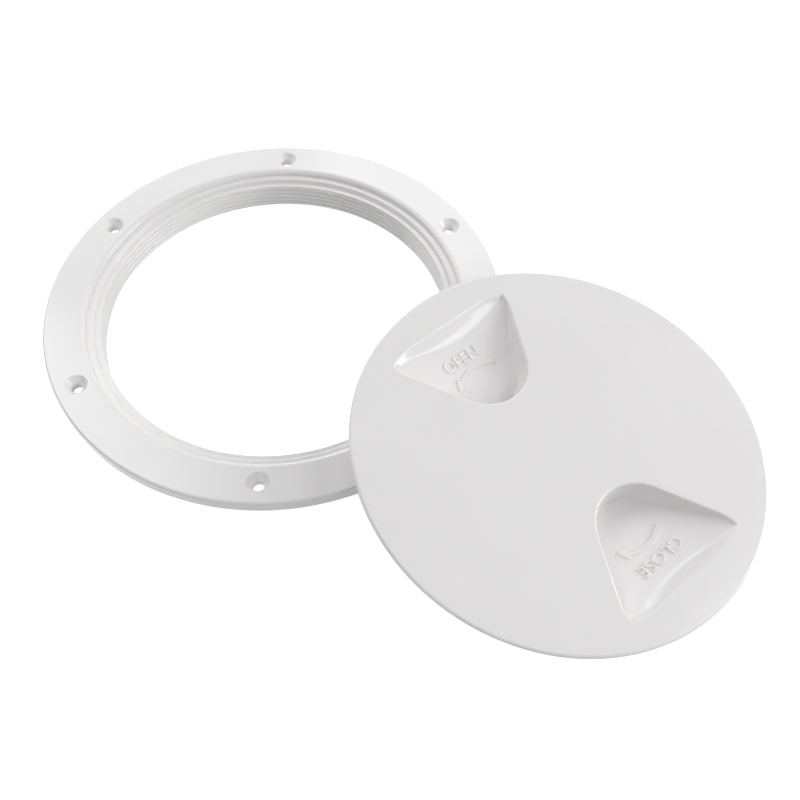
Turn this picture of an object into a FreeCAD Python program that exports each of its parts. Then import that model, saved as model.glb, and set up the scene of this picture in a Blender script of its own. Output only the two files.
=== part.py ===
import FreeCAD, Part
import math
import os

# Screw-in deck inspection plate, taken apart: the mounting ring stands on its collar and the
# lid leans on the ring's flange. Millimetres, +Z up. The origin is on the ring's axis, in the
# plane of the deck that the flange is made to lie on, and +X points from the ring to the lid.

# The clear opening, by which such a plate is sold: every other radius follows from it
bore_diameter = 152.4

# Mounting ring, with widths measured along a radius
flange_width = 23.8
flange_thickness = 5.6
flange_edge_round = 1.0
collar_depth = 12.1
collar_wall = 5.3
collar_foot_bevel = 0.5
bore_foot_bevel = 1.8

# Seat for the lid and its seal, cut into the top of the ring
lid_seat_gap = 0.5
lip_ease_width = 3.8
lip_ease_drop = 0.9
seal_seat_width = 2.3
seal_seat_draft = 0.6

# Screw holes in the flange
screw_count = 6
screw_edge_distance = 9.2
screw_hole_diameter = 4.8
countersink_diameter = 9.7
first_screw_angle = 3.6

# Lid
lid_rim_width = 5.5
lid_rim_thickness = 1.3
lid_plate_thickness = 2.8
lid_edge_round = 1.1
skirt_depth = 15.0
skirt_wall = 2.3
skirt_running_gap = 0.4
skirt_foot_bevel = 0.5
skirt_root_bevel = 1.5

# Seal
seal_section = 2.4
seal_squeeze = 0.2
seal_slack = 0.1

# Finger pockets, measured along the lid's radius that they lie on
pocket_angle = -16.0
pocket_skirt_distance = 6.9
pocket_length = 41.0
pocket_end_radius = 18.1
pocket_half_angle = 28.7
pocket_corner_radius = 4.6
pocket_wall_draft = 8.0
pocket_side_slope = 38.0
pocket_floor_slope = 15.0
pocket_outer_depth = 3.3
pocket_floor_radius = 225.0
pocket_wall = 2.0
pocket_lip_round = 0.8
pocket_floor_round = 2.0

# How the lid lies
lid_reach = 39.0
resting_gap = 0.03
contact_steps = 900

# Sizes that follow from the ones above
bore_radius = bore_diameter / 2
flange_radius = bore_radius + flange_width
collar_radius = bore_radius + collar_wall
screw_circle_radius = flange_radius - screw_edge_distance
skirt_radius = bore_radius - skirt_running_gap
skirt_inner_radius = skirt_radius - skirt_wall
lid_radius = skirt_radius + lid_rim_width
lid_seat_radius = lid_radius + lid_seat_gap
seal_seat_radius = bore_radius + seal_seat_width
seal_seat_depth = lid_rim_thickness + seal_section - seal_squeeze
pocket_outer_side = skirt_inner_radius - pocket_skirt_distance
pocket_inner_end = pocket_outer_side - pocket_length
lid_offset = flange_radius + lid_reach
through_cut = 1.0

# Edge finishes of a turned profile: a round is turned as flats that each take up part of it
BEVEL = "bevel"
ROUND = "round"
turn_per_flat = 22.5


def corner_round(before, corner, after, radius):
    """The arc at a corner: its start, centre and end, and how far it turns in radians."""
    to_before = (before - corner).normalize()
    to_after = (after - corner).normalize()
    half_angle = to_before.getAngle(to_after) / 2
    run = radius / math.tan(half_angle)
    inwards = (to_before + to_after).normalize()
    centre = corner + inwards * (radius / math.sin(half_angle))
    return corner + to_before * run, centre, corner + to_after * run, math.pi - 2 * half_angle


def arc_point(start, centre, end, turn, share):
    """The point that lies a share of the way along an arc."""
    from_start = (start - centre) * (math.sin((1 - share) * turn) / math.sin(turn))
    from_end = (end - centre) * (math.sin(share * turn) / math.sin(turn))
    return centre + from_start + from_end


def finished_corner(before, corner, after, finish, size):
    """The points that a finish puts in the place of a corner."""
    if finish == ROUND:
        start, centre, end, turn = corner_round(before, corner, after, size)
        flats = max(1, round(math.degrees(turn) / turn_per_flat))
        return [arc_point(start, centre, end, turn, i / flats) for i in range(flats + 1)]
    if finish == BEVEL:
        start = corner + (before - corner).normalize() * size
        return [start, corner + (after - corner).normalize() * size]
    return [corner]


def turned(corners):
    """A solid turned about Z from corners given as (radius, height) or (radius, height, finish, size)."""
    sharp = [FreeCAD.Vector(corner[0], 0, corner[1]) for corner in corners]
    points = []
    for i, corner in enumerate(corners):
        finish, size = corner[2:] or (None, 0)
        after = sharp[(i + 1) % len(sharp)]
        points += finished_corner(sharp[i - 1], sharp[i], after, finish, size)
    face = Part.Face(Part.makePolygon(points + points[:1]))
    return face.revolve(FreeCAD.Vector(0, 0, 0), FreeCAD.Vector(0, 0, 1), 360)


def polar(radius, angle, height):
    """A point at a radius and an angle in degrees round Z."""
    turn = math.radians(angle)
    return FreeCAD.Vector(radius * math.cos(turn), radius * math.sin(turn), height)


def screw_hole(angle):
    """The hole and countersink of one flange screw."""
    sink_depth = (countersink_diameter - screw_hole_diameter) / 2
    sink_top_radius = countersink_diameter / 2 + through_cut
    sink = Part.makeCone(screw_hole_diameter / 2, sink_top_radius, sink_depth + through_cut,
                         polar(screw_circle_radius, angle, flange_thickness - sink_depth))
    hole = Part.makeCylinder(screw_hole_diameter / 2, flange_thickness + 2 * through_cut,
                             polar(screw_circle_radius, angle, -through_cut))
    return sink.fuse(hole)


def mounting_ring():
    """Flange, stepped seat and collar, with the lip eased into the seat."""
    lip_radius = lid_seat_radius + lip_ease_width
    lid_ledge = flange_thickness - lid_rim_thickness
    seal_ledge = flange_thickness - seal_seat_depth
    body = turned([
        (bore_radius, -collar_depth, BEVEL, bore_foot_bevel),
        (collar_radius, -collar_depth, BEVEL, collar_foot_bevel),
        (collar_radius, 0),
        (flange_radius, 0),
        (flange_radius, flange_thickness, ROUND, flange_edge_round),
        (lip_radius, flange_thickness, ROUND, lip_ease_width),
        (lid_seat_radius, flange_thickness - lip_ease_drop),
        (lid_seat_radius, lid_ledge),
        (seal_seat_radius + seal_seat_draft, lid_ledge),
        (seal_seat_radius, seal_ledge),
        (bore_radius, seal_ledge),
    ])
    for i in range(screw_count):
        body = body.cut(screw_hole(first_screw_angle + i * 360 / screw_count))
    return body


def pocket_outline(height, grow):
    """The pocket's outline at a height in the lid, with its walls set outwards by grow."""
    spread = height * math.tan(math.radians(pocket_wall_draft)) + grow
    side_spread = height / math.tan(math.radians(pocket_side_slope)) + grow
    half = math.radians(pocket_half_angle)
    centre = pocket_inner_end + pocket_end_radius
    end_radius = pocket_end_radius + spread
    side = pocket_outer_side + side_spread
    corner_radius = pocket_corner_radius + min(spread, side_spread)
    corner_y = (end_radius + (side - centre) * math.sin(half)) / math.cos(half)
    tangent_x = centre - end_radius * math.sin(half)
    tangent_y = end_radius * math.cos(half)
    inner_end = FreeCAD.Vector(centre - end_radius, 0, height)
    leg_top = FreeCAD.Vector(tangent_x, tangent_y, height)
    leg_bottom = FreeCAD.Vector(tangent_x, -tangent_y, height)
    top_corner = FreeCAD.Vector(side, corner_y, height)
    bottom_corner = FreeCAD.Vector(side, -corner_y, height)
    top_round = corner_round(leg_top, top_corner, bottom_corner, corner_radius)
    bottom_round = corner_round(top_corner, bottom_corner, leg_bottom, corner_radius)
    return Part.Wire([
        Part.Arc(leg_bottom, inner_end, leg_top).toShape(),
        Part.LineSegment(leg_top, top_round[0]).toShape(),
        Part.Arc(top_round[0], arc_point(*top_round, 0.5), top_round[2]).toShape(),
        Part.LineSegment(top_round[2], bottom_round[0]).toShape(),
        Part.Arc(bottom_round[0], arc_point(*bottom_round, 0.5), bottom_round[2]).toShape(),
        Part.LineSegment(bottom_round[2], leg_bottom).toShape(),
    ])


def pocket_form(top, bottom, grow):
    """The space of one pocket between two heights, with its walls and floor set out by grow."""
    walls = Part.makeLoft([pocket_outline(top, grow), pocket_outline(bottom, grow)], True, True)
    slope = math.radians(pocket_floor_slope)
    along = FreeCAD.Vector(math.cos(slope), 0, math.sin(slope))
    upwards = FreeCAD.Vector(-math.sin(slope), 0, math.cos(slope))
    floor_point = FreeCAD.Vector(pocket_outer_side - pocket_corner_radius, 0, -pocket_outer_depth)
    start = floor_point + upwards * pocket_floor_radius - along * 2 * lid_radius
    trough = Part.makeCylinder(pocket_floor_radius + grow, 4 * lid_radius, start, along)
    return walls.common(trough)


def pocket_space(top, bottom):
    """The hollow of one pocket, with its floor rounded into its walls."""
    space = pocket_form(top, bottom, 0)
    floor_edges = [edge for edge in space.Edges if edge.BoundBox.ZMax < -lid_rim_thickness / 2]
    return space.makeFillet(pocket_floor_round, floor_edges)


def is_pocket_lip(box):
    """Whether an edge's box lies in the lid's top face, inside its skirt."""
    reach = max(box.XMax, -box.XMin, box.YMax, -box.YMin)
    return reach < skirt_inner_radius and max(box.ZMax, -box.ZMin) < lid_edge_round / 2


def screw_lid():
    """Disc, skirt and two finger pockets, with the top face at height 0 and the axis on Z."""
    body = turned([
        (0, 0),
        (0, -lid_plate_thickness),
        (skirt_inner_radius, -lid_plate_thickness, BEVEL, skirt_root_bevel),
        (skirt_inner_radius, -skirt_depth),
        (skirt_radius, -skirt_depth, BEVEL, skirt_foot_bevel),
        (skirt_radius, -lid_rim_thickness),
        (lid_radius, -lid_rim_thickness),
        (lid_radius, 0, ROUND, lid_edge_round),
    ])
    lowest = -skirt_depth
    shell = pocket_form(-lid_rim_thickness / 2, lowest, pocket_wall)
    space = pocket_space(through_cut, lowest)
    axis = FreeCAD.Vector(0, 0, 1)
    centre = FreeCAD.Vector(0, 0, 0)
    for turn in (pocket_angle, pocket_angle + 180):
        one_shell = shell.copy()
        one_shell.rotate(centre, axis, turn)
        body = body.fuse(one_shell)
    for turn in (pocket_angle, pocket_angle + 180):
        one_space = space.copy()
        one_space.rotate(centre, axis, turn)
        body = body.cut(one_space)
    lip_edges = [edge for edge in body.Edges if is_pocket_lip(edge.BoundBox)]
    return body.makeFillet(pocket_lip_round, lip_edges)


def lid_seal():
    """The seal on the lid's neck, against the underside of the rim."""
    inner = skirt_radius + seal_slack
    top = -lid_rim_thickness - resting_gap
    return turned([
        (inner, top),
        (inner, top - seal_section),
        (inner + seal_section, top - seal_section),
        (inner + seal_section, top),
    ])


def flange_distance(radius, height):
    """How far a point above the flange is from its top face or its rounded edge."""
    into_round = radius - (flange_radius - flange_edge_round)
    if into_round <= 0:
        return height - flange_thickness
    above_centre = height - flange_thickness + flange_edge_round
    return math.hypot(into_round, above_centre) - flange_edge_round


def lid_placement(lean):
    """Where the lid lies when it leans by an angle, with its skirt's foot level with the ring's."""
    tilt = math.radians(lean)
    contact_radius = skirt_radius - skirt_foot_bevel
    height = skirt_depth * math.cos(tilt) + contact_radius * math.sin(tilt) - collar_depth
    turn = FreeCAD.Rotation(FreeCAD.Vector(0, 1, 0), lean)
    return FreeCAD.Placement(FreeCAD.Vector(lid_offset, 0, height), turn)


def flange_gap(lean):
    """The least gap between the skirt's foot and the flange at a lean."""
    place = lid_placement(lean)
    gaps = []
    for contact_radius in (skirt_inner_radius, skirt_radius - skirt_foot_bevel):
        for i in range(contact_steps + 1):
            angle = 90 + 90 * i / contact_steps
            point = place.multVec(polar(contact_radius, angle, -skirt_depth))
            gaps.append(flange_distance(math.hypot(point.x, point.y), point.z))
    return min(gaps)


def resting_lean():
    """The lean at which the skirt's foot just clears the flange."""
    low = 0.0
    high = 20.0
    while high - low > 1e-4:
        middle = (low + high) / 2
        if flange_gap(middle) < resting_gap:
            low = middle
        else:
            high = middle
    return high


os.makedirs("parts", exist_ok=True)
lean = resting_lean()
place = lid_placement(lean)
ring = mounting_ring()
lid = screw_lid()
seal = lid_seal()
lid.Placement = place
seal.Placement = place.multiply(seal.Placement)
ring.exportStep("parts/mounting_ring.step")
lid.exportStep("parts/screw_lid.step")
seal.exportStep("parts/lid_seal.step")
print("lid leans %.2f degrees, top centre %.2f above the deck" % (lean, place.Base.z))
for name, shape in (("mounting_ring", ring), ("screw_lid", lid), ("lid_seal", seal)):
    print(name, shape.isValid(), len(shape.Solids), "%.0f mm3" % shape.Volume)
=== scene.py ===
import math

import bmesh
import bpy
from mathutils import Matrix, Vector
from mathutils.geometry import delaunay_2d_cdt


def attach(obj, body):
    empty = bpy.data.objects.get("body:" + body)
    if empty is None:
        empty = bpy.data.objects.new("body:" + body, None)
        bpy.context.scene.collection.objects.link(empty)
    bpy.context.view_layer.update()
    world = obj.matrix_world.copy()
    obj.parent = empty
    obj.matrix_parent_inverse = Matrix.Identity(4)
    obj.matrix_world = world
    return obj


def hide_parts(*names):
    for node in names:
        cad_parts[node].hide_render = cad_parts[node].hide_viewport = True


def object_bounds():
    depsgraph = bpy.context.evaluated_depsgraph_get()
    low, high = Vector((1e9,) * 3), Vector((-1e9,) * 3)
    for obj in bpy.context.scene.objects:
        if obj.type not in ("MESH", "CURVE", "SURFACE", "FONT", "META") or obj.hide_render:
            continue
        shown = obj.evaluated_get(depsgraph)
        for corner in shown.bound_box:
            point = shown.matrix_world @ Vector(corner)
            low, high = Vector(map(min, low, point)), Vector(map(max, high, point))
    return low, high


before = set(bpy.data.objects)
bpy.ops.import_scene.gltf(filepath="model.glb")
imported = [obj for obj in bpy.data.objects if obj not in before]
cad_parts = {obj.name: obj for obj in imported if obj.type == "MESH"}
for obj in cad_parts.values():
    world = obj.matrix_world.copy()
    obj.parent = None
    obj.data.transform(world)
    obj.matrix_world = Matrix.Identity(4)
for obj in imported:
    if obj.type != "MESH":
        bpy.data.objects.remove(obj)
cad_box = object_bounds()

# Lengths are in millimetres and become metres when a mesh is made
MM = 0.001

# Meshes: columns round Z, turn for each step of a round, distance of the extra row beside a round
# that keeps a long run straight, and distance at which two vertices become one
COLUMNS = 408
COLUMN_TURN = 2 * math.pi / COLUMNS
ARC_STEP = math.radians(12)
SUPPORT = 0.12
MERGE = 1e-4
FILL_TOLERANCE = 1e-7
SHARP_ANGLE = math.radians(40)
ROUNDING = 1e-9

# Mounting ring: heights are above the deck plane
FLANGE_RADIUS = 100.0
FLANGE_TOP = 5.6
FLANGE_EDGE_ROUND = 1.0
COLLAR_RADIUS = 81.5
COLLAR_DEPTH = 12.1
BORE_RADIUS = 76.2
LID_SEAT_RADIUS = 81.75
LIP_RADIUS = 83.4
LIP_FOOT_RADIUS = 82.0
LIP_DROP = 0.7
LID_LEDGE_DEPTH = 2.4
SEAL_SEAT_RADIUS = 78.5
SEAL_SEAT_DRAFT = 0.7
SEAL_LEDGE_DEPTH = 4.3
BORE_FOOT_RADIUS = 78.0
COLLAR_FOOT_ROUND = 0.5
UNDERSIDE_ROUND = 0.4
LIP_ROUND = 2.5
LIP_FOOT_ROUND = 1.2
LID_LEDGE_ROUND = 0.15
SEAL_SEAT_ROUND = 0.8
SEAL_LEDGE_ROUND = 0.3
BORE_MOUTH_ROUND = 0.45

# Screw holes
SCREW_COUNT = 6
SCREW_CIRCLE_RADIUS = 90.8
SCREW_HOLE_RADIUS = 2.4
COUNTERSINK_RADIUS = 4.85
COUNTERSINK_ROUND = 0.25
COUNTERSINK_MARGIN = 0.4
FIRST_SCREW_ANGLE = math.radians(3.6)

# The flat band of the flange that the holes lie in, and the columns of it that each hole's window takes
HOLE_BAND_INNER = 85.0
HOLE_BAND_OUTER = 98.1
HOLE_BAND_ROWS = 12
HOLE_WINDOW_COLUMNS = 14

# Threads: heights of crests are above the deck plane for the ring, and above the top face for the lid
PITCH = 2.4
THREAD_STARTS = 2
THREAD_DEPTH = 1.2
THREAD_CREST = 0.4
THREAD_ROOT = 0.3
THREAD_FLANK_ROWS = (0.0, 0.12, 0.28, 0.5, 0.72, 0.88, 1.0)
THREAD_RUN_OUT = 0.9
THREAD_DROP = 0.6
RING_CREST_HEIGHT = -0.4
RING_CREST_ANGLE = math.radians(109)
LID_THREAD_TOP = -4.6
LID_THREAD_BOTTOM = -13.6

# Lid: heights are above its top face
LID_RADIUS = 81.29
LID_RIM_THICKNESS = 1.3
LID_EDGE_ROUND = 1.2
RIM_UNDER_ROUND = 0.08
NECK_ROUND = 0.3
LID_PLATE_THICKNESS = 2.8
SKIRT_RADIUS = 75.8
SKIRT_DEPTH = 14.99
SKIRT_WALL = 2.3
SKIRT_FOOT_ROUND = 0.5
SKIRT_ROOT_ROUND = 1.2
LID_FILL_RADIUS = 80.0
UNDERSIDE_FILL_RADIUS = 72.1

# Finger pockets, measured from the lid's axis outwards
POCKET_ANGLE = math.radians(-16.0)
POCKET_OUTER_SIDE = 66.8
POCKET_INNER_END = 25.6
POCKET_END_RADIUS = 18.1
POCKET_HALF_ANGLE = math.radians(28.7)
POCKET_SIDE_BEND_RADIUS = 35.0
POCKET_SIDE_BEND = math.radians(20.7)
POCKET_TIP_RADIUS = 1.0
POCKET_TIP_TURN = math.radians(74)
POCKET_LEG_BEND_RADIUS = 18.0
POCKET_LEG_BEND = math.radians(24)
POCKET_FAN_REACH = 8.0
POCKET_FLOOR_DEPTH_AT = 62.0
POCKET_WALL_DRAFT = math.radians(8)
POCKET_SIDE_SLOPE = math.radians(38)
POCKET_FLOOR_SLOPE = math.radians(14)
POCKET_FLOOR_DEPTH = 4.0
POCKET_FLOOR_RADIUS = 180.0
POCKET_WALL = 2.0
POCKET_LIP = 0.8
POCKET_FOOT = 0.5
POCKET_CREASE_SHARP = 0.2
POCKET_CREASE_SOFT = 2.2
POCKET_CREASE_END = 27.0
SLOPE_SET_DOWN = 0.02
SHELL_LIP = 0.3
SHELL_FOOT = 1.8
POCKET_CENTRE = 47.0
POCKET_MARGIN = 0.2

# Steps of a pocket's mesh: along its outline, and down each section of its wall
SIDE_STEPS = 20
BEND_STEPS = 12
TIP_STEPS = 14
LEG_STEPS = 30
END_STEPS = 16
LIP_STEPS = 9
WALL_STEPS = 5
FOOT_STEPS = 13
POCKET_FLOOR_RINGS = 26
SECTION_STEP = 0.1
DEEPEST_WALL = 20.0
HALVINGS = 30

# Lettering and arrows, moulded in relief
LETTER_SIZE = 6.45
LETTER_RELIEF = 0.3
LETTER_BEVEL = 0.25
LETTER_SWELL = 0.02
ARROW_RELIEF = 0.5
ARROW_DRAFT = 0.35
ARROW_STEPS = 24
MITRE_LIMIT = 0.5

# Words: distance of the letters' feet from the lid's axis, start across the pocket, and width
OPEN_WORD = (50.35, 11.67, 17.5)
CLOSE_WORD = (52.4, 10.96, 22.6)

# Arrows: centre and radius of the outer edge, widths at head and tail, bearings of tail and head,
# point, and the head's two corners
OPEN_ARROW = ((30.0, -0.9), 18.1, 1.0, 2.2, math.radians(-31.7), math.radians(32),
              (42.4, 11.9), ((46.6, 10.1), (43.4, 8.6)))
CLOSE_ARROW = ((29.7, 0.74), 19.6, 1.3, 2.2, math.radians(30), math.radians(-26.7),
               (43.3, -11.37), ((48.0, -9.65), (44.0, -7.55)))

# White plastic: the noises' scales are in waves a metre, the peel's distance in metres
PLASTIC_COLOUR = (0.815, 0.804, 0.802)
PLASTIC_SHADE = 0.975
PLASTIC_ROUGHNESS = (0.14, 0.20)
PLASTIC_IOR = 1.49
MOTTLE_SCALE = 38.0
MOTTLE_DETAIL = 3.0
MOTTLE_RANGE = (0.3, 0.7)
PEEL_SCALE = 420.0
PEEL_DETAIL = 2.0
PEEL_STRENGTH = 0.04
PEEL_DISTANCE = 0.0002

# Seal rubber
RUBBER_COLOURS = ((0.02, 0.02, 0.02), (0.045, 0.045, 0.046))
RUBBER_ROUGHNESS = (0.55, 0.75)
GRAIN_SCALE = 900.0
GRAIN_DETAIL = 4.0
FULL_RANGE = (0.0, 1.0)

# Floor and world: the lift makes the floor white where the camera sees it, directly or mirrored
WHITE = (1, 1, 1, 1)
FLOOR_COLOUR = (0.85, 0.85, 0.85, 1)
FLOOR_ROUGHNESS = 0.9
FLOOR_HALF_SIZE = 6.0
FLOOR_LIFT = 0.8
WORLD_LIGHT = 0.08

# Lamps: name, place in metres, size in metres and power in watts; all face the same point
LAMP_TARGET = (0.06, 0, 0)
LAMPS = [
    ("low_right", (1.12, 0.39, 0.41), 0.9, 1.2),
    ("low_back_right", (0.93, 0.73, 0.37), 0.5, 7.0),
    ("back_right", (0.82, 0.44, 0.82), 0.4, 2.0),
    ("back", (0.06, 1.13, 0.41), 0.5, 0.6),
    ("back_left", (-0.37, 0.77, 0.82), 0.35, 1.1),
    ("left", (-0.79, 0.49, 0.69), 0.8, 2.2),
    ("low_left", (-0.94, 0.58, 0.31), 0.6, 4.2),
    ("high_left", (-0.71, 0.0, 0.92), 0.6, 3.2),
    ("front", (0.06, -0.98, 0.69), 0.5, 1.8),
    ("high_front", (0.6, -0.55, 0.92), 0.8, 2.6),
]

# Camera, fitted to the photo's holes and outlines
CAMERA_PLACE = (180.01, -188.26, 309.9)
CAMERA_RIGHT = (0.8264, 0.56298, -0.01074)
CAMERA_DOWN = (0.46047, -0.68664, -0.56258)
CAMERA_LENS = 40.658
CAMERA_SHIFT = (0.04522, -0.00801)
CAMERA_SENSOR = 36.0
CAMERA_CLIP_START = 0.01


def add_object(name, data):
    """A new object in the scene."""
    result = bpy.data.objects.new(name, data)
    bpy.context.scene.collection.objects.link(result)
    return result


def polar(radius, angle, height):
    """A point at a radius and an angle round Z."""
    return Vector((radius * math.cos(angle), radius * math.sin(angle), height))


def arc_between(before, corner, after, radius):
    """Points along the arc that rounds a corner off."""
    to_before = (before - corner).normalized()
    to_after = (after - corner).normalized()
    half_angle = to_before.angle(to_after) / 2
    run = radius / math.tan(half_angle)
    centre = corner + (to_before + to_after).normalized() * (radius / math.sin(half_angle))
    start = corner + to_before * run - centre
    end = corner + to_after * run - centre
    turn = math.pi - 2 * half_angle
    steps = max(2, math.ceil(turn / ARC_STEP))
    points = []
    for i in range(steps + 1):
        share = i / steps
        points.append(centre + (start * math.sin((1 - share) * turn)
                                + end * math.sin(share * turn)) / math.sin(turn))
    return points


def with_supports(points):
    """The points of a line, with one more close to each end of every long run."""
    result = []
    for i, point in enumerate(points[:-1]):
        run = points[i + 1] - point
        result.append(point)
        if run.length > 4 * SUPPORT:
            result.append(point + run.normalized() * SUPPORT)
            result.append(points[i + 1] - run.normalized() * SUPPORT)
    return result + points[-1:]


def profile(corners):
    """Points of an open profile through corners given as (radius, height) or (radius, height, round)."""
    sharp = [Vector(corner[:2]) for corner in corners]
    points = []
    for i, corner in enumerate(corners):
        if len(corner) == 3:
            points += arc_between(sharp[i - 1], sharp[i], sharp[i + 1], corner[2])
        else:
            points.append(sharp[i])
    return with_supports(points)


def smooth_step(value):
    """A smooth rise from 0 to 1, for values from 0 to 1."""
    value = min(1.0, max(0.0, value))
    return value * value * (3 - 2 * value)


def thread_height(down):
    """Height of the thread over its root, at a distance below a crest's middle."""
    from_crest = abs((down + PITCH / 2) % PITCH - PITCH / 2)
    flank = (PITCH - THREAD_CREST - THREAD_ROOT) / 2
    return THREAD_DEPTH * (1 - smooth_step((from_crest - THREAD_CREST / 2) / flank))


def thread_rows():
    """Distances below a crest's middle at which one pitch of thread needs a row."""
    crest = THREAD_CREST / 2
    flank = (PITCH - THREAD_CREST - THREAD_ROOT) / 2
    half = [0.0] + [crest + flank * share for share in THREAD_FLANK_ROWS]
    return half + [PITCH / 2] + [PITCH - row for row in reversed(half[1:])]


def threaded_wall(angle, top, bottom, crest_height, radius_at):
    """Points down a threaded wall at one angle, as many at every angle."""
    lead = PITCH * THREAD_STARTS
    crest = crest_height + lead * angle / (2 * math.pi)
    first = math.ceil((top - crest_height) / PITCH)
    last = math.floor((bottom - crest_height - lead) / PITCH) - 1
    points = []
    for turn in range(first, last, -1):
        for row in thread_rows():
            height = min(top, max(bottom, crest + turn * PITCH - row))
            points.append(Vector((radius_at(crest - height, height), height)))
    return points


def ring_thread_radius(down, height):
    """Radius of the ring's bore: crests that run out under the ledge and are cut away at the foot."""
    top = FLANGE_TOP - SEAL_LEDGE_DEPTH - THREAD_DROP
    run_out = smooth_step((top - height) / THREAD_RUN_OUT)
    cut = (THREAD_DEPTH - thread_height(down)) * run_out
    foot = BORE_FOOT_RADIUS - (height + COLLAR_DEPTH)
    return max(BORE_RADIUS + cut, foot)


def lid_thread_radius(down, height):
    """Radius of the lid's skirt, with the thread fading out at both ends."""
    fade = smooth_step((LID_THREAD_TOP - height) / THREAD_RUN_OUT)
    fade *= smooth_step((height - LID_THREAD_BOTTOM) / THREAD_RUN_OUT)
    return SKIRT_RADIUS + thread_height(down) * fade


def encloses(loop, point):
    """Whether a closed loop of vertices goes round a point, seen from above."""
    inside = False
    for start, end in zip(loop, loop[1:] + loop[:1]):
        a, b = start.co, end.co
        if (a.y > point.y) != (b.y > point.y):
            crossing = a.x + (b.x - a.x) * (point.y - a.y) / (b.y - a.y)
            inside ^= crossing > point.x
    return inside


def lies_inside(corners, loop):
    """Whether a triangle with its corners on a closed loop of vertices lies inside the loop."""
    middle = sum((corner.co for corner in corners), Vector()) / len(corners)
    return all(corner in loop for corner in corners) and encloses(loop, middle)


class Skin:
    """A mesh made row by row, with vertices shared where rows meet."""

    def __init__(self):
        self.bm = bmesh.new()

    def row(self, points):
        """One row of new vertices."""
        return [self.bm.verts.new(point) for point in points]

    def bridge(self, above, below, closed=True):
        """Quads between two rows of as many vertices."""
        count = len(above)
        for i in range(count if closed else count - 1):
            j = (i + 1) % count
            self.bm.faces.new((above[i], below[i], below[j], above[j]))

    def fill_flat(self, loops):
        """Triangles between closed loops of vertices at one height, the first round the others."""
        verts = [vert for loop in loops for vert in loop]
        edges = []
        start = 0
        for loop in loops:
            count = len(loop)
            edges += [(start + i, start + (i + 1) % count) for i in range(count)]
            start += count
        flat = [vert.co.xy for vert in verts]
        _, _, faces, origin, _, _ = delaunay_2d_cdt(flat, edges, [], 1, FILL_TOLERANCE)
        for face in faces:
            corners = [verts[origin[corner][0]] for corner in face]
            if not any(lies_inside(corners, hole) for hole in loops[1:]):
                self.bm.faces.new(corners)

    def finish(self, name, matrix):
        """The mesh object, in metres, with its normals outwards and its real corners sharp."""
        bmesh.ops.remove_doubles(self.bm, verts=self.bm.verts, dist=MERGE)
        bmesh.ops.recalc_face_normals(self.bm, faces=self.bm.faces)
        for face in self.bm.faces:
            face.smooth = True
        for edge in self.bm.edges:
            edge.smooth = edge.calc_face_angle(0) < SHARP_ANGLE
        self.bm.transform(Matrix.Scale(MM, 4) @ matrix)
        mesh = bpy.data.meshes.new(name)
        self.bm.to_mesh(mesh)
        self.bm.free()
        return add_object(name, mesh)


def column_angles(start):
    """The angle of each column round Z, the first one given again at the end."""
    return [start + i * COLUMN_TURN for i in range(COLUMNS + 1)]


def bridge_rows(skin, rows):
    """Quads between each row and the next."""
    for above, below in zip(rows, rows[1:]):
        skin.bridge(above, below, closed=False)


def turned_surface(skin, points, angles):
    """A profile turned round Z; returns its rows of vertices."""
    rows = [skin.row([polar(point.x, angle, point.y) for angle in angles]) for point in points]
    bridge_rows(skin, rows)
    return rows


def thread_surface(skin, angles, top, bottom, crest_height, radius_at):
    """A threaded wall round Z, made column by column."""
    columns = []
    for angle in angles:
        points = threaded_wall(angle, top, bottom, crest_height, radius_at)
        columns.append(skin.row([polar(point.x, angle, point.y) for point in points]))
    bridge_rows(skin, columns)


def hole_window(column, rows):
    """Vertices round the part of a band that a screw hole takes, and the columns it covers."""
    half = HOLE_WINDOW_COLUMNS // 2
    columns = [(column + i) % COLUMNS for i in range(-half, half + 1)]
    loop = [rows[0][i] for i in columns]
    loop += [row[columns[-1]] for row in rows[1:-1]]
    loop += [rows[-1][i] for i in reversed(columns)]
    loop += [row[columns[0]] for row in reversed(rows[1:-1])]
    return loop, columns


def holed_band(skin, height, angles, hole_rings):
    """A flat band with the screw holes cut out; hole_rings collects the rim of each hole."""
    radii = [HOLE_BAND_OUTER + (HOLE_BAND_INNER - HOLE_BAND_OUTER) * i / HOLE_BAND_ROWS
             for i in range(HOLE_BAND_ROWS + 1)]
    rows = [skin.row([polar(radius, angle, height) for angle in angles[:-1]]) for radius in radii]
    taken = set()
    for screw in range(SCREW_COUNT):
        column = screw * COLUMNS // SCREW_COUNT
        loop, columns = hole_window(column, rows)
        taken.update(columns[:-1])
        centre = polar(SCREW_CIRCLE_RADIUS, angles[column], height)
        hole_rings[screw].append((loop, centre))
    for above, below in zip(rows, rows[1:]):
        for i in range(COLUMNS):
            if i not in taken:
                j = (i + 1) % COLUMNS
                skin.bm.faces.new((above[i], below[i], below[j], above[j]))
    loose = [vert for row in rows for vert in row if not vert.link_faces]
    keep = {vert for rings in hole_rings for vert in rings[-1][0]}
    for vert in loose:
        if vert not in keep:
            skin.bm.verts.remove(vert)


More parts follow.
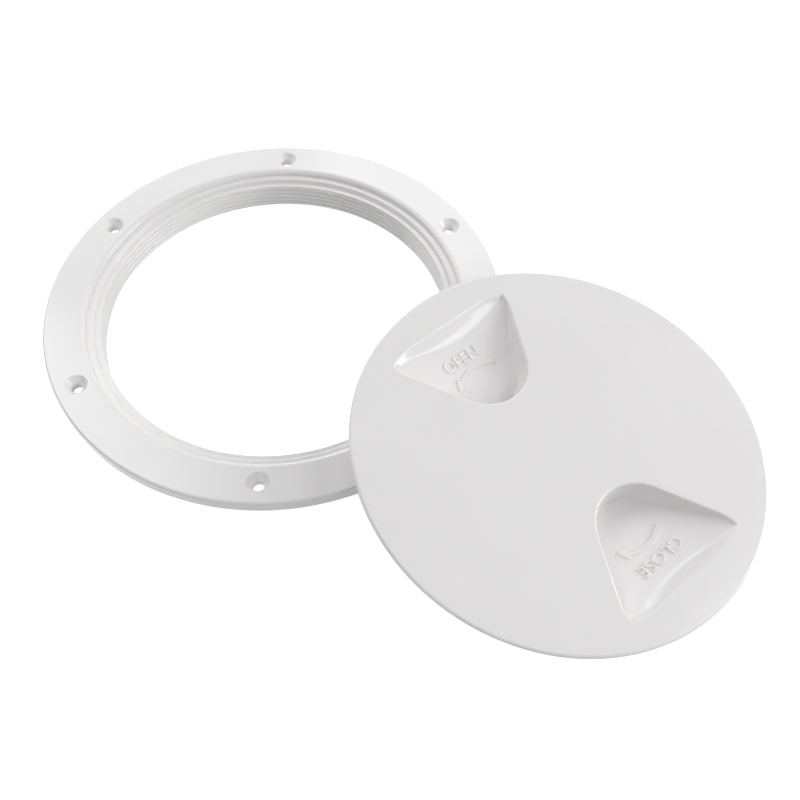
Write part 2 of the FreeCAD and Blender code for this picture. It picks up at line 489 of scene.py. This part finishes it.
def screw_hole(skin, rings):
    """The countersink and hole between the flange's top and its underside."""
    (top_loop, centre), (bottom_loop, _) = rings
    bearings = [math.atan2(vert.co.y - centre.y, vert.co.x - centre.x) for vert in top_loop]
    sink_depth = COUNTERSINK_RADIUS - SCREW_HOLE_RADIUS
    line = profile([(COUNTERSINK_RADIUS + COUNTERSINK_MARGIN, FLANGE_TOP),
                    (COUNTERSINK_RADIUS, FLANGE_TOP, COUNTERSINK_ROUND),
                    (SCREW_HOLE_RADIUS, FLANGE_TOP - sink_depth),
                    (SCREW_HOLE_RADIUS, 0)])
    above = top_loop
    for point in line:
        below = skin.row([Vector((centre.x, centre.y, 0)) + polar(point.x, bearing, point.y)
                          for bearing in bearings])
        skin.bridge(above, below)
        above = below
    skin.bridge(above, bottom_loop)


def mounting_ring():
    """The flange with its screw holes, the lid's and the seal's seats, the thread and the collar."""
    skin = Skin()
    angles = column_angles(FIRST_SCREW_ANGLE)
    ledge = FLANGE_TOP - LID_LEDGE_DEPTH
    seal_ledge = FLANGE_TOP - SEAL_LEDGE_DEPTH
    thread_top = seal_ledge - THREAD_DROP
    outer = profile([(BORE_FOOT_RADIUS, -COLLAR_DEPTH),
                     (COLLAR_RADIUS, -COLLAR_DEPTH, COLLAR_FOOT_ROUND),
                     (COLLAR_RADIUS, 0, UNDERSIDE_ROUND),
                     (HOLE_BAND_INNER, 0)])
    edge = profile([(HOLE_BAND_OUTER, 0),
                    (FLANGE_RADIUS, 0, UNDERSIDE_ROUND),
                    (FLANGE_RADIUS, FLANGE_TOP, FLANGE_EDGE_ROUND),
                    (HOLE_BAND_OUTER, FLANGE_TOP)])
    seat = profile([(HOLE_BAND_INNER, FLANGE_TOP),
                    (LIP_RADIUS, FLANGE_TOP, LIP_ROUND),
                    (LIP_FOOT_RADIUS, FLANGE_TOP - LIP_DROP, LIP_FOOT_ROUND),
                    (LID_SEAT_RADIUS, ledge, LID_LEDGE_ROUND),
                    (SEAL_SEAT_RADIUS + SEAL_SEAT_DRAFT, ledge, SEAL_SEAT_ROUND),
                    (SEAL_SEAT_RADIUS, seal_ledge, SEAL_LEDGE_ROUND),
                    (BORE_RADIUS, seal_ledge, BORE_MOUTH_ROUND),
                    (BORE_RADIUS, thread_top)])
    for line in (outer, edge, seat):
        turned_surface(skin, line, angles)
    crest_height = RING_CREST_HEIGHT - PITCH * THREAD_STARTS * RING_CREST_ANGLE / (2 * math.pi)
    thread_surface(skin, angles, thread_top, -COLLAR_DEPTH, crest_height, ring_thread_radius)
    hole_rings = [[] for _ in range(SCREW_COUNT)]
    holed_band(skin, FLANGE_TOP, angles, hole_rings)
    holed_band(skin, 0, angles, hole_rings)
    for rings in hole_rings:
        screw_hole(skin, rings)
    return skin.finish("mounting_ring_skin", Matrix.Identity(4))


def spaced(start, end, steps):
    """Evenly spaced values from start to end, both included."""
    return [start + (end - start) * i / steps for i in range(steps + 1)]


def turned(angle):
    """A flat unit direction."""
    return Vector((math.cos(angle), math.sin(angle)))


def pocket_outline():
    """Half of a pocket's outline in the lid's top face, from its outer side round to its inner end.

    Each entry is a place, the angle of the direction straight into the pocket, and how far the wall
    there runs inwards for each unit of depth.
    """
    draft = math.tan(POCKET_WALL_DRAFT)
    side_run = 1 / math.tan(POCKET_SIDE_SLOPE)
    arcs = [(POCKET_SIDE_BEND_RADIUS, POCKET_SIDE_BEND, BEND_STEPS, side_run, side_run),
            (POCKET_TIP_RADIUS, POCKET_TIP_TURN, TIP_STEPS, side_run, draft),
            (POCKET_LEG_BEND_RADIUS, POCKET_LEG_BEND, BEND_STEPS, draft, draft)]
    place = Vector((POCKET_OUTER_SIDE, 0))
    inwards = math.pi
    bends = [(place, inwards, side_run)]
    for radius, turn, steps, run_before, run_after in arcs:
        centre = place + turned(inwards) * radius
        for share in spaced(0, 1, steps)[1:]:
            angle = inwards + turn * share
            run = run_before + (run_after - run_before) * smooth_step(share)
            bends.append((centre - turned(angle) * radius, angle, run))
        place, inwards = bends[-1][:2]
    centre = Vector((POCKET_INNER_END + POCKET_END_RADIUS, 0))
    outwards = -turned(inwards)
    lift = (POCKET_END_RADIUS - (place - centre).dot(outwards)) / outwards.y
    bends = [(spot + Vector((0, lift)), angle, run) for spot, angle, run in bends]
    outline = [(Vector((POCKET_OUTER_SIDE, lift * share)), math.pi, side_run)
               for share in spaced(0, 1, SIDE_STEPS)[:-1]]
    outline += bends
    leg_start = bends[-1][0]
    leg_end = centre + outwards * POCKET_END_RADIUS
    outline += [(leg_start.lerp(leg_end, share), inwards, draft)
                for share in spaced(0, 1, LEG_STEPS)[1:]]
    for angle in spaced(inwards, 2 * math.pi, END_STEPS)[1:]:
        outline.append((centre - turned(angle) * POCKET_END_RADIUS, angle, draft))
    return outline


def fanned(outline):
    """The directions of an outline's sections, turned evenly past the corner so that none cross."""
    along = [0.0]
    for before, after in zip(outline, outline[1:]):
        along.append(along[-1] + (after[0] - before[0]).length)
    tip = max(range(len(outline)), key=lambda i: outline[i][0].y)
    first = math.pi
    last = math.pi * 1.5 + POCKET_HALF_ANGLE
    directions = []
    for distance, (_, angle, _) in zip(along, outline):
        share = (distance - along[tip]) / (2 * POCKET_FAN_REACH) + 0.5
        directions.append(angle if share > 1 else first + (last - first) * max(0, share))
    return directions


def pocket_stations(height, grow):
    """Places round a pocket's outline at a height in the lid, with its walls set outwards by grow.

    Each is a place on the outline, the direction of the section there, and how far the wall runs
    along it for each unit of depth.
    """
    outline = pocket_outline()
    half = []
    for (place, angle, run), direction in zip(outline, fanned(outline)):
        along = turned(direction)
        slant_run = run / math.cos(direction - angle)
        half.append((place - turned(angle) * grow - along * (slant_run * height), along, slant_run))
    mirrored = [(Vector((place.x, -place.y)), Vector((along.x, -along.y)), run)
                for place, along, run in half[-2:0:-1]]
    return half + mirrored


def pocket_floor(x, y, grow):
    """Height of the pocket's floor, or of the shell under it, at a place in the lid."""
    radius = POCKET_FLOOR_RADIUS + grow
    sag = POCKET_FLOOR_RADIUS - math.sqrt(radius * radius - y * y)
    rise = sag + (x - POCKET_FLOOR_DEPTH_AT) * math.sin(POCKET_FLOOR_SLOPE)
    return -POCKET_FLOOR_DEPTH + rise / math.cos(POCKET_FLOOR_SLOPE)


def pocket_bottom(x, y, top, grow):
    """Height of the floor blended into the slope on the pocket's outer side, softer towards one tip.

    The slope is set down a touch, so that the wall above it is never in the same place.
    """
    floor = pocket_floor(x, y, grow)
    slope = (x - POCKET_OUTER_SIDE - grow) * math.tan(POCKET_SIDE_SLOPE) - SLOPE_SET_DOWN
    higher = min(max(floor, slope), top)
    softer = smooth_step((POCKET_CREASE_END - y) / (2 * POCKET_CREASE_END))
    width = POCKET_CREASE_SHARP + (POCKET_CREASE_SOFT - POCKET_CREASE_SHARP) * softer
    blend = min(width, top - higher)
    gap = blend - abs(floor - slope)
    return higher + gap * gap / (4 * blend) if gap > 0 else higher


def wall_depth(place, inwards, wall_run, top, grow):
    """How far below the top the wall from a station meets the bottom."""
    low, high = 0.0, DEEPEST_WALL
    for _ in range(HALVINGS):
        depth = (low + high) / 2
        foot = place + inwards * (wall_run * depth)
        if top - depth > pocket_bottom(foot.x, foot.y, top, grow):
            low = depth
        else:
            high = depth
    return low


def section_line(place, inwards, wall_run, top, grow, lip, reach):
    """Points close together from the flat face, down the wall and along the bottom."""
    depth = wall_depth(place, inwards, wall_run, top, grow)
    length = depth * math.hypot(1, wall_run)
    line = []
    steps = math.ceil((2 * lip + length + reach) / SECTION_STEP)
    for along in spaced(-2 * lip, length + reach, steps):
        if along < 0:
            inset, height = along, top
        elif along < length:
            inset, height = along / length * depth * wall_run, top - along / length * depth
        else:
            inset = depth * wall_run + along - length
            spot = place + inwards * inset
            height = pocket_bottom(spot.x, spot.y, top, grow)
        line.append((along, inset, height))
    return line, length


def averaged(line, along, half_width):
    """The mean inset and height of a line's points within a distance of a place along it."""
    near = [point for point in line if abs(point[0] - along) <= half_width + ROUNDING]
    return [sum(point[i] for point in near) / len(near) for i in (1, 2)]


def pocket_section(station, top, grow, lip, foot):
    """Points from the flat face round a pocket, over its lip, down its wall and on to its bottom."""
    place, inwards, wall_run = station
    reach = max(lip, foot)
    line, length = section_line(place, inwards, wall_run, top, grow, lip, 2 * reach)
    foot_width = lip + (foot - lip) * smooth_step((length - lip) / (2 * reach))
    lip_end = min(lip, length / 2)
    stops = spaced(-lip, lip_end, LIP_STEPS)
    stops += spaced(lip_end, length - lip_end, WALL_STEPS)[1:-1]
    stops += spaced(length - lip_end, length + reach, FOOT_STEPS)
    points = [place - inwards * (lip + POCKET_MARGIN)]
    heights = [top]
    for along in stops:
        width = lip
        if along > 0 and length > 0:
            width += (foot_width - lip) * smooth_step(along / length)
        inset, height = averaged(line, along, width)
        points.append(place + inwards * inset)
        heights.append(height)
    return [Vector((point.x, point.y, height)) for point, height in zip(points, heights)]


def pocket(skin, turn, top, grow, lip, foot):
    """One pocket's surface, and the loop where it meets the flat face round it."""
    sections = [pocket_section(station, top, grow, lip, foot) for station in pocket_stations(top, grow)]
    centre = Vector((POCKET_CENTRE, 0, pocket_bottom(POCKET_CENTRE, 0, top, grow)))
    rotation = Matrix.Rotation(turn, 3, "Z")
    for section in sections:
        edge = section[-1]
        for share in spaced(0, 1, POCKET_FLOOR_RINGS)[1:-1]:
            place = edge.lerp(centre, share)
            place.z = pocket_bottom(place.x, place.y, top, grow)
            section.append(place)
    rings = [skin.row([rotation @ section[i] for section in sections]) for i in range(len(sections[0]))]
    for above, below in zip(rings, rings[1:]):
        skin.bridge(above, below)
    middle = skin.bm.verts.new(rotation @ centre)
    last = rings[-1]
    for i, vert in enumerate(last):
        skin.bm.faces.new((vert, last[(i + 1) % len(last)], middle))
    return rings[0]


def lid_matrix():
    """The lid's place, read from the frame: its axis and the middle of its top face, in millimetres."""
    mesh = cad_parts["screw_lid"].data
    largest = max(mesh.polygons, key=lambda polygon: polygon.area)
    axis = largest.normal.copy()
    if axis.z < 0:
        axis.negate()
    side = Vector((0, 1, 0))
    along = side.cross(axis).normalized()
    side = axis.cross(along)
    places = [vert.co / MM for vert in mesh.vertices]
    middle = []
    for direction in (along, side):
        reaches = [place.dot(direction) for place in places]
        middle.append(0.5 * (min(reaches) + max(reaches)))
    height = max(place.dot(axis) for place in places)
    centre = along * middle[0] + side * middle[1] + axis * height
    turn = Matrix((along, side, axis)).transposed().to_4x4()
    return Matrix.Translation(centre) @ turn


def screw_lid(place):
    """The disc with its two pockets, the shells under them, and the threaded skirt."""
    skin = Skin()
    angles = column_angles(0)
    rim = profile([(LID_FILL_RADIUS, 0),
                   (LID_RADIUS, 0, LID_EDGE_ROUND),
                   (LID_RADIUS, -LID_RIM_THICKNESS, RIM_UNDER_ROUND),
                   (SKIRT_RADIUS, -LID_RIM_THICKNESS, NECK_ROUND),
                   (SKIRT_RADIUS, LID_THREAD_TOP)])
    foot = profile([(SKIRT_RADIUS, LID_THREAD_BOTTOM),
                    (SKIRT_RADIUS, -SKIRT_DEPTH, SKIRT_FOOT_ROUND),
                    (SKIRT_RADIUS - SKIRT_WALL, -SKIRT_DEPTH, SKIRT_FOOT_ROUND),
                    (SKIRT_RADIUS - SKIRT_WALL, -LID_PLATE_THICKNESS, SKIRT_ROOT_ROUND),
                    (UNDERSIDE_FILL_RADIUS, -LID_PLATE_THICKNESS)])
    rim_rows = turned_surface(skin, rim, angles)
    foot_rows = turned_surface(skin, foot, angles)
    thread_surface(skin, angles, LID_THREAD_TOP, LID_THREAD_BOTTOM, LID_THREAD_TOP, lid_thread_radius)
    turns = (POCKET_ANGLE, POCKET_ANGLE + math.pi)
    top_loops = [pocket(skin, turn, 0, 0, POCKET_LIP, POCKET_FOOT) for turn in turns]
    under_loops = [pocket(skin, turn, -LID_PLATE_THICKNESS, POCKET_WALL, SHELL_LIP, SHELL_FOOT)
                   for turn in turns]
    skin.fill_flat([rim_rows[0][:-1]] + top_loops)
    skin.fill_flat([foot_rows[-1][:-1]] + under_loops)
    return skin.finish("screw_lid_skin", place)


def on_pocket_floor(point, turn, place):
    """A point given over a pocket's floor, moved to its place in the frame and into metres."""
    lifted = Vector((point.x, point.y, pocket_floor(point.x, point.y, 0) + point.z))
    return (place @ Matrix.Rotation(turn, 4, "Z") @ lifted) * MM


def raised_word(word, baseline, start_y, width, turn, place):
    """A word moulded in relief on a pocket's floor, read across the pocket with its feet inwards."""
    curve = bpy.data.curves.new(word, "FONT")
    curve.body = word
    curve.size = LETTER_SIZE
    curve.extrude = LETTER_RELIEF
    curve.bevel_depth = LETTER_BEVEL
    curve.bevel_resolution = 1
    curve.offset = LETTER_SWELL - 0.5 * LETTER_BEVEL
    source = add_object(word, curve)
    bpy.context.view_layer.update()
    evaluated = source.evaluated_get(bpy.context.evaluated_depsgraph_get())
    mesh = bpy.data.meshes.new_from_object(evaluated)
    bpy.data.objects.remove(source)
    left = min(vert.co.x for vert in mesh.vertices)
    right = max(vert.co.x for vert in mesh.vertices)
    stretch = width / (right - left)
    for vert in mesh.vertices:
        flat = Vector((baseline + vert.co.y, start_y - (vert.co.x - left) * stretch, vert.co.z))
        vert.co = on_pocket_floor(flat, turn, place)
    return mesh


def grown(outline, reach):
    """A closed outline in a plane with every corner set outwards, each side by the same reach."""
    area = sum(a.cross(b).z for a, b in zip(outline, outline[1:] + outline[:1]))
    side = 1 if area > 0 else -1
    result = []
    for i, point in enumerate(outline):
        before = (point - outline[i - 1]).normalized()
        after = (outline[(i + 1) % len(outline)] - point).normalized()
        out_before = Vector((before.y, -before.x, 0)) * side
        out_after = Vector((after.y, -after.x, 0)) * side
        spread = max(1 + out_before.dot(out_after), MITRE_LIMIT)
        result.append(point + (out_before + out_after) * reach / spread)
    return result


def raised_arrow(centre, radius, thin, thick, tail_turn, head_turn, tip, barbs, turn, place):
    """A curved arrow in relief on a pocket's floor: a band that narrows from its tail to a pointed head.

    Its draft reaches as far under the floor as its top stands over it.
    """
    inner = []
    outer = []
    for angle in spaced(tail_turn, head_turn, ARROW_STEPS):
        share = (angle - tail_turn) / (head_turn - tail_turn)
        width = thick + (thin - thick) * share
        ray = Vector((math.cos(angle), math.sin(angle), 0))
        outer.append(Vector((*centre, 0)) + ray * radius)
        inner.append(Vector((*centre, 0)) + ray * (radius - width))
    head = [Vector((x, y, 0)) for x, y in (barbs[0], tip, barbs[1])]
    outline = outer + head + inner[::-1]
    bm = bmesh.new()
    rise = Vector((0, 0, ARROW_RELIEF))
    top = [bm.verts.new(point + rise) for point in outline]
    foot = [bm.verts.new(point - rise) for point in grown(outline, 2 * ARROW_DRAFT)]
    steps = len(outer)
    for i in range(steps - 1):
        bm.faces.new((top[i], top[i + 1], top[-2 - i], top[-1 - i]))
    bm.faces.new(top[steps - 1:steps + 4])
    for i in range(len(outline)):
        j = (i + 1) % len(outline)
        bm.faces.new((top[i], foot[i], foot[j], top[j]))
    bmesh.ops.recalc_face_normals(bm, faces=bm.faces)
    for vert in bm.verts:
        vert.co = on_pocket_floor(vert.co, turn, place)
    mesh = bpy.data.meshes.new("arrow")
    bm.to_mesh(mesh)
    bm.free()
    return mesh


def pocket_marks(place):
    """The words and arrows on the floors of the two pockets."""
    far = POCKET_ANGLE
    near = POCKET_ANGLE + math.pi
    meshes = [
        ("open_word", raised_word("OPEN", *OPEN_WORD, near, place)),
        ("close_word", raised_word("CLOSE", *CLOSE_WORD, far, place)),
        ("open_arrow", raised_arrow(*OPEN_ARROW, near, place)),
        ("close_arrow", raised_arrow(*CLOSE_ARROW, far, place)),
    ]
    return [add_object(name, mesh) for name, mesh in meshes]


def new_material(name):
    """A new material, with its nodes, its links and its shader."""
    material = bpy.data.materials.new(name)
    material.use_nodes = True
    nodes = material.node_tree.nodes
    return material, nodes, material.node_tree.links, nodes["Principled BSDF"]


def noise(nodes, links, scale, detail):
    """The value of a noise in the object's own coordinates."""
    place = nodes.new("ShaderNodeTexCoord")
    texture = nodes.new("ShaderNodeTexNoise")
    texture.inputs["Scale"].default_value = scale
    texture.inputs["Detail"].default_value = detail
    links.new(place.outputs["Object"], texture.inputs["Vector"])
    return texture.outputs["Fac"]


def vary(nodes, links, shader, value, limits, colours, roughness):
    """Colour between two limits of a value, and roughness all along it, both rising with the value."""
    tint = nodes.new("ShaderNodeValToRGB")
    for element, limit, colour in zip(tint.color_ramp.elements, limits, colours):
        element.position = limit
        element.color = (*colour, 1)
    gloss = nodes.new("ShaderNodeMapRange")
    gloss.inputs["To Min"].default_value, gloss.inputs["To Max"].default_value = roughness
    links.new(value, tint.inputs["Fac"])
    links.new(value, gloss.inputs["Value"])
    links.new(tint.outputs["Color"], shader.inputs["Base Color"])
    links.new(gloss.outputs["Result"], shader.inputs["Roughness"])


def white_plastic():
    """Glossy moulded plastic with a faint mottle, a soft orange peel and uneven gloss."""
    material, nodes, links, shader = new_material("white_plastic")
    shader.inputs["IOR"].default_value = PLASTIC_IOR
    mottle = noise(nodes, links, MOTTLE_SCALE, MOTTLE_DETAIL)
    shade = [PLASTIC_SHADE * part for part in PLASTIC_COLOUR]
    vary(nodes, links, shader, mottle, MOTTLE_RANGE, (shade, PLASTIC_COLOUR), PLASTIC_ROUGHNESS)
    bump = nodes.new("ShaderNodeBump")
    bump.inputs["Strength"].default_value = PEEL_STRENGTH
    bump.inputs["Distance"].default_value = PEEL_DISTANCE
    links.new(noise(nodes, links, PEEL_SCALE, PEEL_DETAIL), bump.inputs["Height"])
    links.new(bump.outputs["Normal"], shader.inputs["Normal"])
    return material


def seal_rubber():
    """Matt black rubber with a fine grain."""
    material, nodes, links, shader = new_material("seal_rubber")
    grain = noise(nodes, links, GRAIN_SCALE, GRAIN_DETAIL)
    vary(nodes, links, shader, grain, FULL_RANGE, RUBBER_COLOURS, RUBBER_ROUGHNESS)
    return material


def seen_directly(nodes, links):
    """A value that is 1 for the camera's own rays and for those mirrored or let through, else 0."""
    path = nodes.new("ShaderNodeLightPath")
    value = path.outputs["Is Camera Ray"]
    for ray in ("Is Glossy Ray", "Is Transmission Ray"):
        either = nodes.new("ShaderNodeMath")
        either.operation = "MAXIMUM"
        links.new(value, either.inputs[0])
        links.new(path.outputs[ray], either.inputs[1])
        value = either.outputs["Value"]
    return value


def add_floor():
    """A pale floor under the part, white to the camera, that keeps the part's shadow."""
    mesh = bpy.data.meshes.new("floor")
    half = FLOOR_HALF_SIZE
    square = ((-half, -half), (half, -half), (half, half), (-half, half))
    mesh.from_pydata([(x, y, cad_box[0][2]) for x, y in square], [], [(0, 1, 2, 3)])
    floor = add_object("floor", mesh)
    material, nodes, links, shader = new_material("floor_white")
    shader.inputs["Base Color"].default_value = FLOOR_COLOUR
    shader.inputs["Roughness"].default_value = FLOOR_ROUGHNESS
    shader.inputs["Specular IOR Level"].default_value = 0.0
    white = nodes.new("ShaderNodeEmission")
    white.inputs["Strength"].default_value = FLOOR_LIFT
    lifted = nodes.new("ShaderNodeAddShader")
    pick = nodes.new("ShaderNodeMixShader")
    links.new(shader.outputs["BSDF"], lifted.inputs[0])
    links.new(white.outputs["Emission"], lifted.inputs[1])
    links.new(seen_directly(nodes, links), pick.inputs["Fac"])
    links.new(shader.outputs["BSDF"], pick.inputs[1])
    links.new(lifted.outputs["Shader"], pick.inputs[2])
    links.new(pick.outputs["Shader"], nodes["Material Output"].inputs["Surface"])
    mesh.materials.append(material)


def set_world():
    """Soft even light, and plain white wherever the view or a reflection goes past the floor."""
    world = bpy.data.worlds.new("studio")
    bpy.context.scene.world = world
    world.use_nodes = True
    nodes, links = world.node_tree.nodes, world.node_tree.links
    light = nodes["Background"]
    light.inputs["Color"].default_value = WHITE
    light.inputs["Strength"].default_value = WORLD_LIGHT
    white = nodes.new("ShaderNodeBackground")
    white.inputs["Color"].default_value = WHITE
    pick = nodes.new("ShaderNodeMixShader")
    links.new(seen_directly(nodes, links), pick.inputs["Fac"])
    links.new(light.outputs["Background"], pick.inputs[1])
    links.new(white.outputs["Background"], pick.inputs[2])
    links.new(pick.outputs["Shader"], nodes["World Output"].inputs["Surface"])


def add_lamp(name, place, size, power):
    """A large square lamp that faces the part."""
    data = bpy.data.lights.new(name, "AREA")
    data.shape = "SQUARE"
    data.size = size
    data.energy = power
    lamp = add_object(name, data)
    lamp.location = place
    lamp.rotation_euler = (Vector(LAMP_TARGET) - Vector(place)).to_track_quat("-Z", "Y").to_euler()


def add_camera():
    """The photo's camera."""
    data = bpy.data.cameras.new("camera")
    data.sensor_width = CAMERA_SENSOR
    data.lens = CAMERA_LENS
    data.shift_x, data.shift_y = CAMERA_SHIFT
    data.clip_start = CAMERA_CLIP_START
    camera = add_object("camera", data)
    right = Vector(CAMERA_RIGHT).normalized()
    back = Vector(CAMERA_RIGHT).cross(-Vector(CAMERA_DOWN)).normalized()
    up = back.cross(right)
    turn = Matrix((right, up, back)).transposed().to_4x4()
    camera.matrix_world = Matrix.Translation(Vector(CAMERA_PLACE) * MM) @ turn
    bpy.context.scene.camera = camera


white = white_plastic()

ring = mounting_ring()
ring.data.materials.append(white)
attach(ring, "root")
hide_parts("mounting_ring")

lid_place = lid_matrix()
lid = screw_lid(lid_place)
lid.data.materials.append(white)
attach(lid, "root")
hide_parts("screw_lid")

for mark in pocket_marks(lid_place):
    mark.data.materials.append(white)
    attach(mark, "root")

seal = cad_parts["lid_seal"]
seal.data.materials.clear()
seal.data.materials.append(seal_rubber())

add_floor()
set_world()
for lamp in LAMPS:
    add_lamp(*lamp)
add_camera()
bpy.context.scene.view_settings.view_transform = "Standard"
